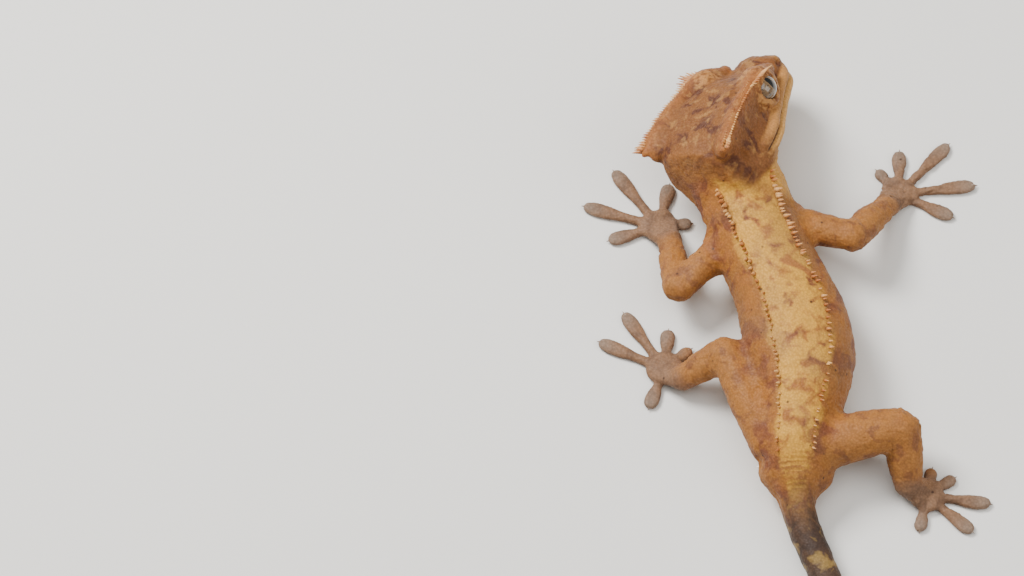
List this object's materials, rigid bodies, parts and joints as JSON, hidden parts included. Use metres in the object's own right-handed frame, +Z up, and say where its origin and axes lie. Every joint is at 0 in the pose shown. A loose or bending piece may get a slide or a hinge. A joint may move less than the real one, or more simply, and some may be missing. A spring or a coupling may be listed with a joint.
{
  "type": "crested gecko figure",
  "caption": "Life-size still figure of a crested gecko, splayed flat-footed with its head turned to its right.",
  "frame": {"origin": "middle of the figure's bounding box, on the floor it stands on", "axes": "+Z up, +Y from the tail towards the head, +X towards the animal's right"},
  "size_m": [0.089, 0.1842, 0.0327],
  "materials": {
    "head_skin": "matt granular skin, tan with red-brown blotches",
    "trunk_skin": "matt granular skin, yellow-tan with brown marks",
    "tail_skin": "matt granular skin, grey-brown mottled",
    "limb_skin": "matt granular skin, tan",
    "foot_skin": "matt skin, grey-brown, with smooth grey toe pads",
    "eye": "wet and glossy, with a slit pupil"
  },
  "bodies": {
    "root": {"head": "head_skin", "lower_jaw": "head_skin", "eye_left": "eye", "eye_right": "eye", "neck": "trunk_skin", "torso": "trunk_skin", "hips": "trunk_skin", "tail_1": "tail_skin", "tail_2": "tail_skin", "tail_3": "tail_skin", "tail_4": "tail_skin", "upper_arm_left": "limb_skin", "forearm_left": "limb_skin", "hand_left": "foot_skin", "thigh_left": "limb_skin", "shin_left": "limb_skin", "foot_left": "foot_skin", "hand_left_first_toe": "foot_skin", "hand_left_second_toe": "foot_skin", "hand_left_third_toe": "foot_skin", "hand_left_fourth_toe": "foot_skin", "hand_left_fifth_toe": "foot_skin", "foot_left_first_toe": "foot_skin", "foot_left_second_toe": "foot_skin", "foot_left_third_toe": "foot_skin", "foot_left_fourth_toe": "foot_skin", "foot_left_fifth_toe": "foot_skin", "upper_arm_right": "limb_skin", "forearm_right": "limb_skin", "hand_right": "foot_skin", "thigh_right": "limb_skin", "shin_right": "limb_skin", "foot_right": "foot_skin", "hand_right_first_toe": "foot_skin", "hand_right_second_toe": "foot_skin", "hand_right_third_toe": "foot_skin", "hand_right_fourth_toe": "foot_skin", "hand_right_fifth_toe": "foot_skin", "foot_right_first_toe": "foot_skin", "foot_right_second_toe": "foot_skin", "foot_right_third_toe": "foot_skin", "foot_right_fourth_toe": "foot_skin", "foot_right_fifth_toe": "foot_skin"}
  },
  "joints": []
}
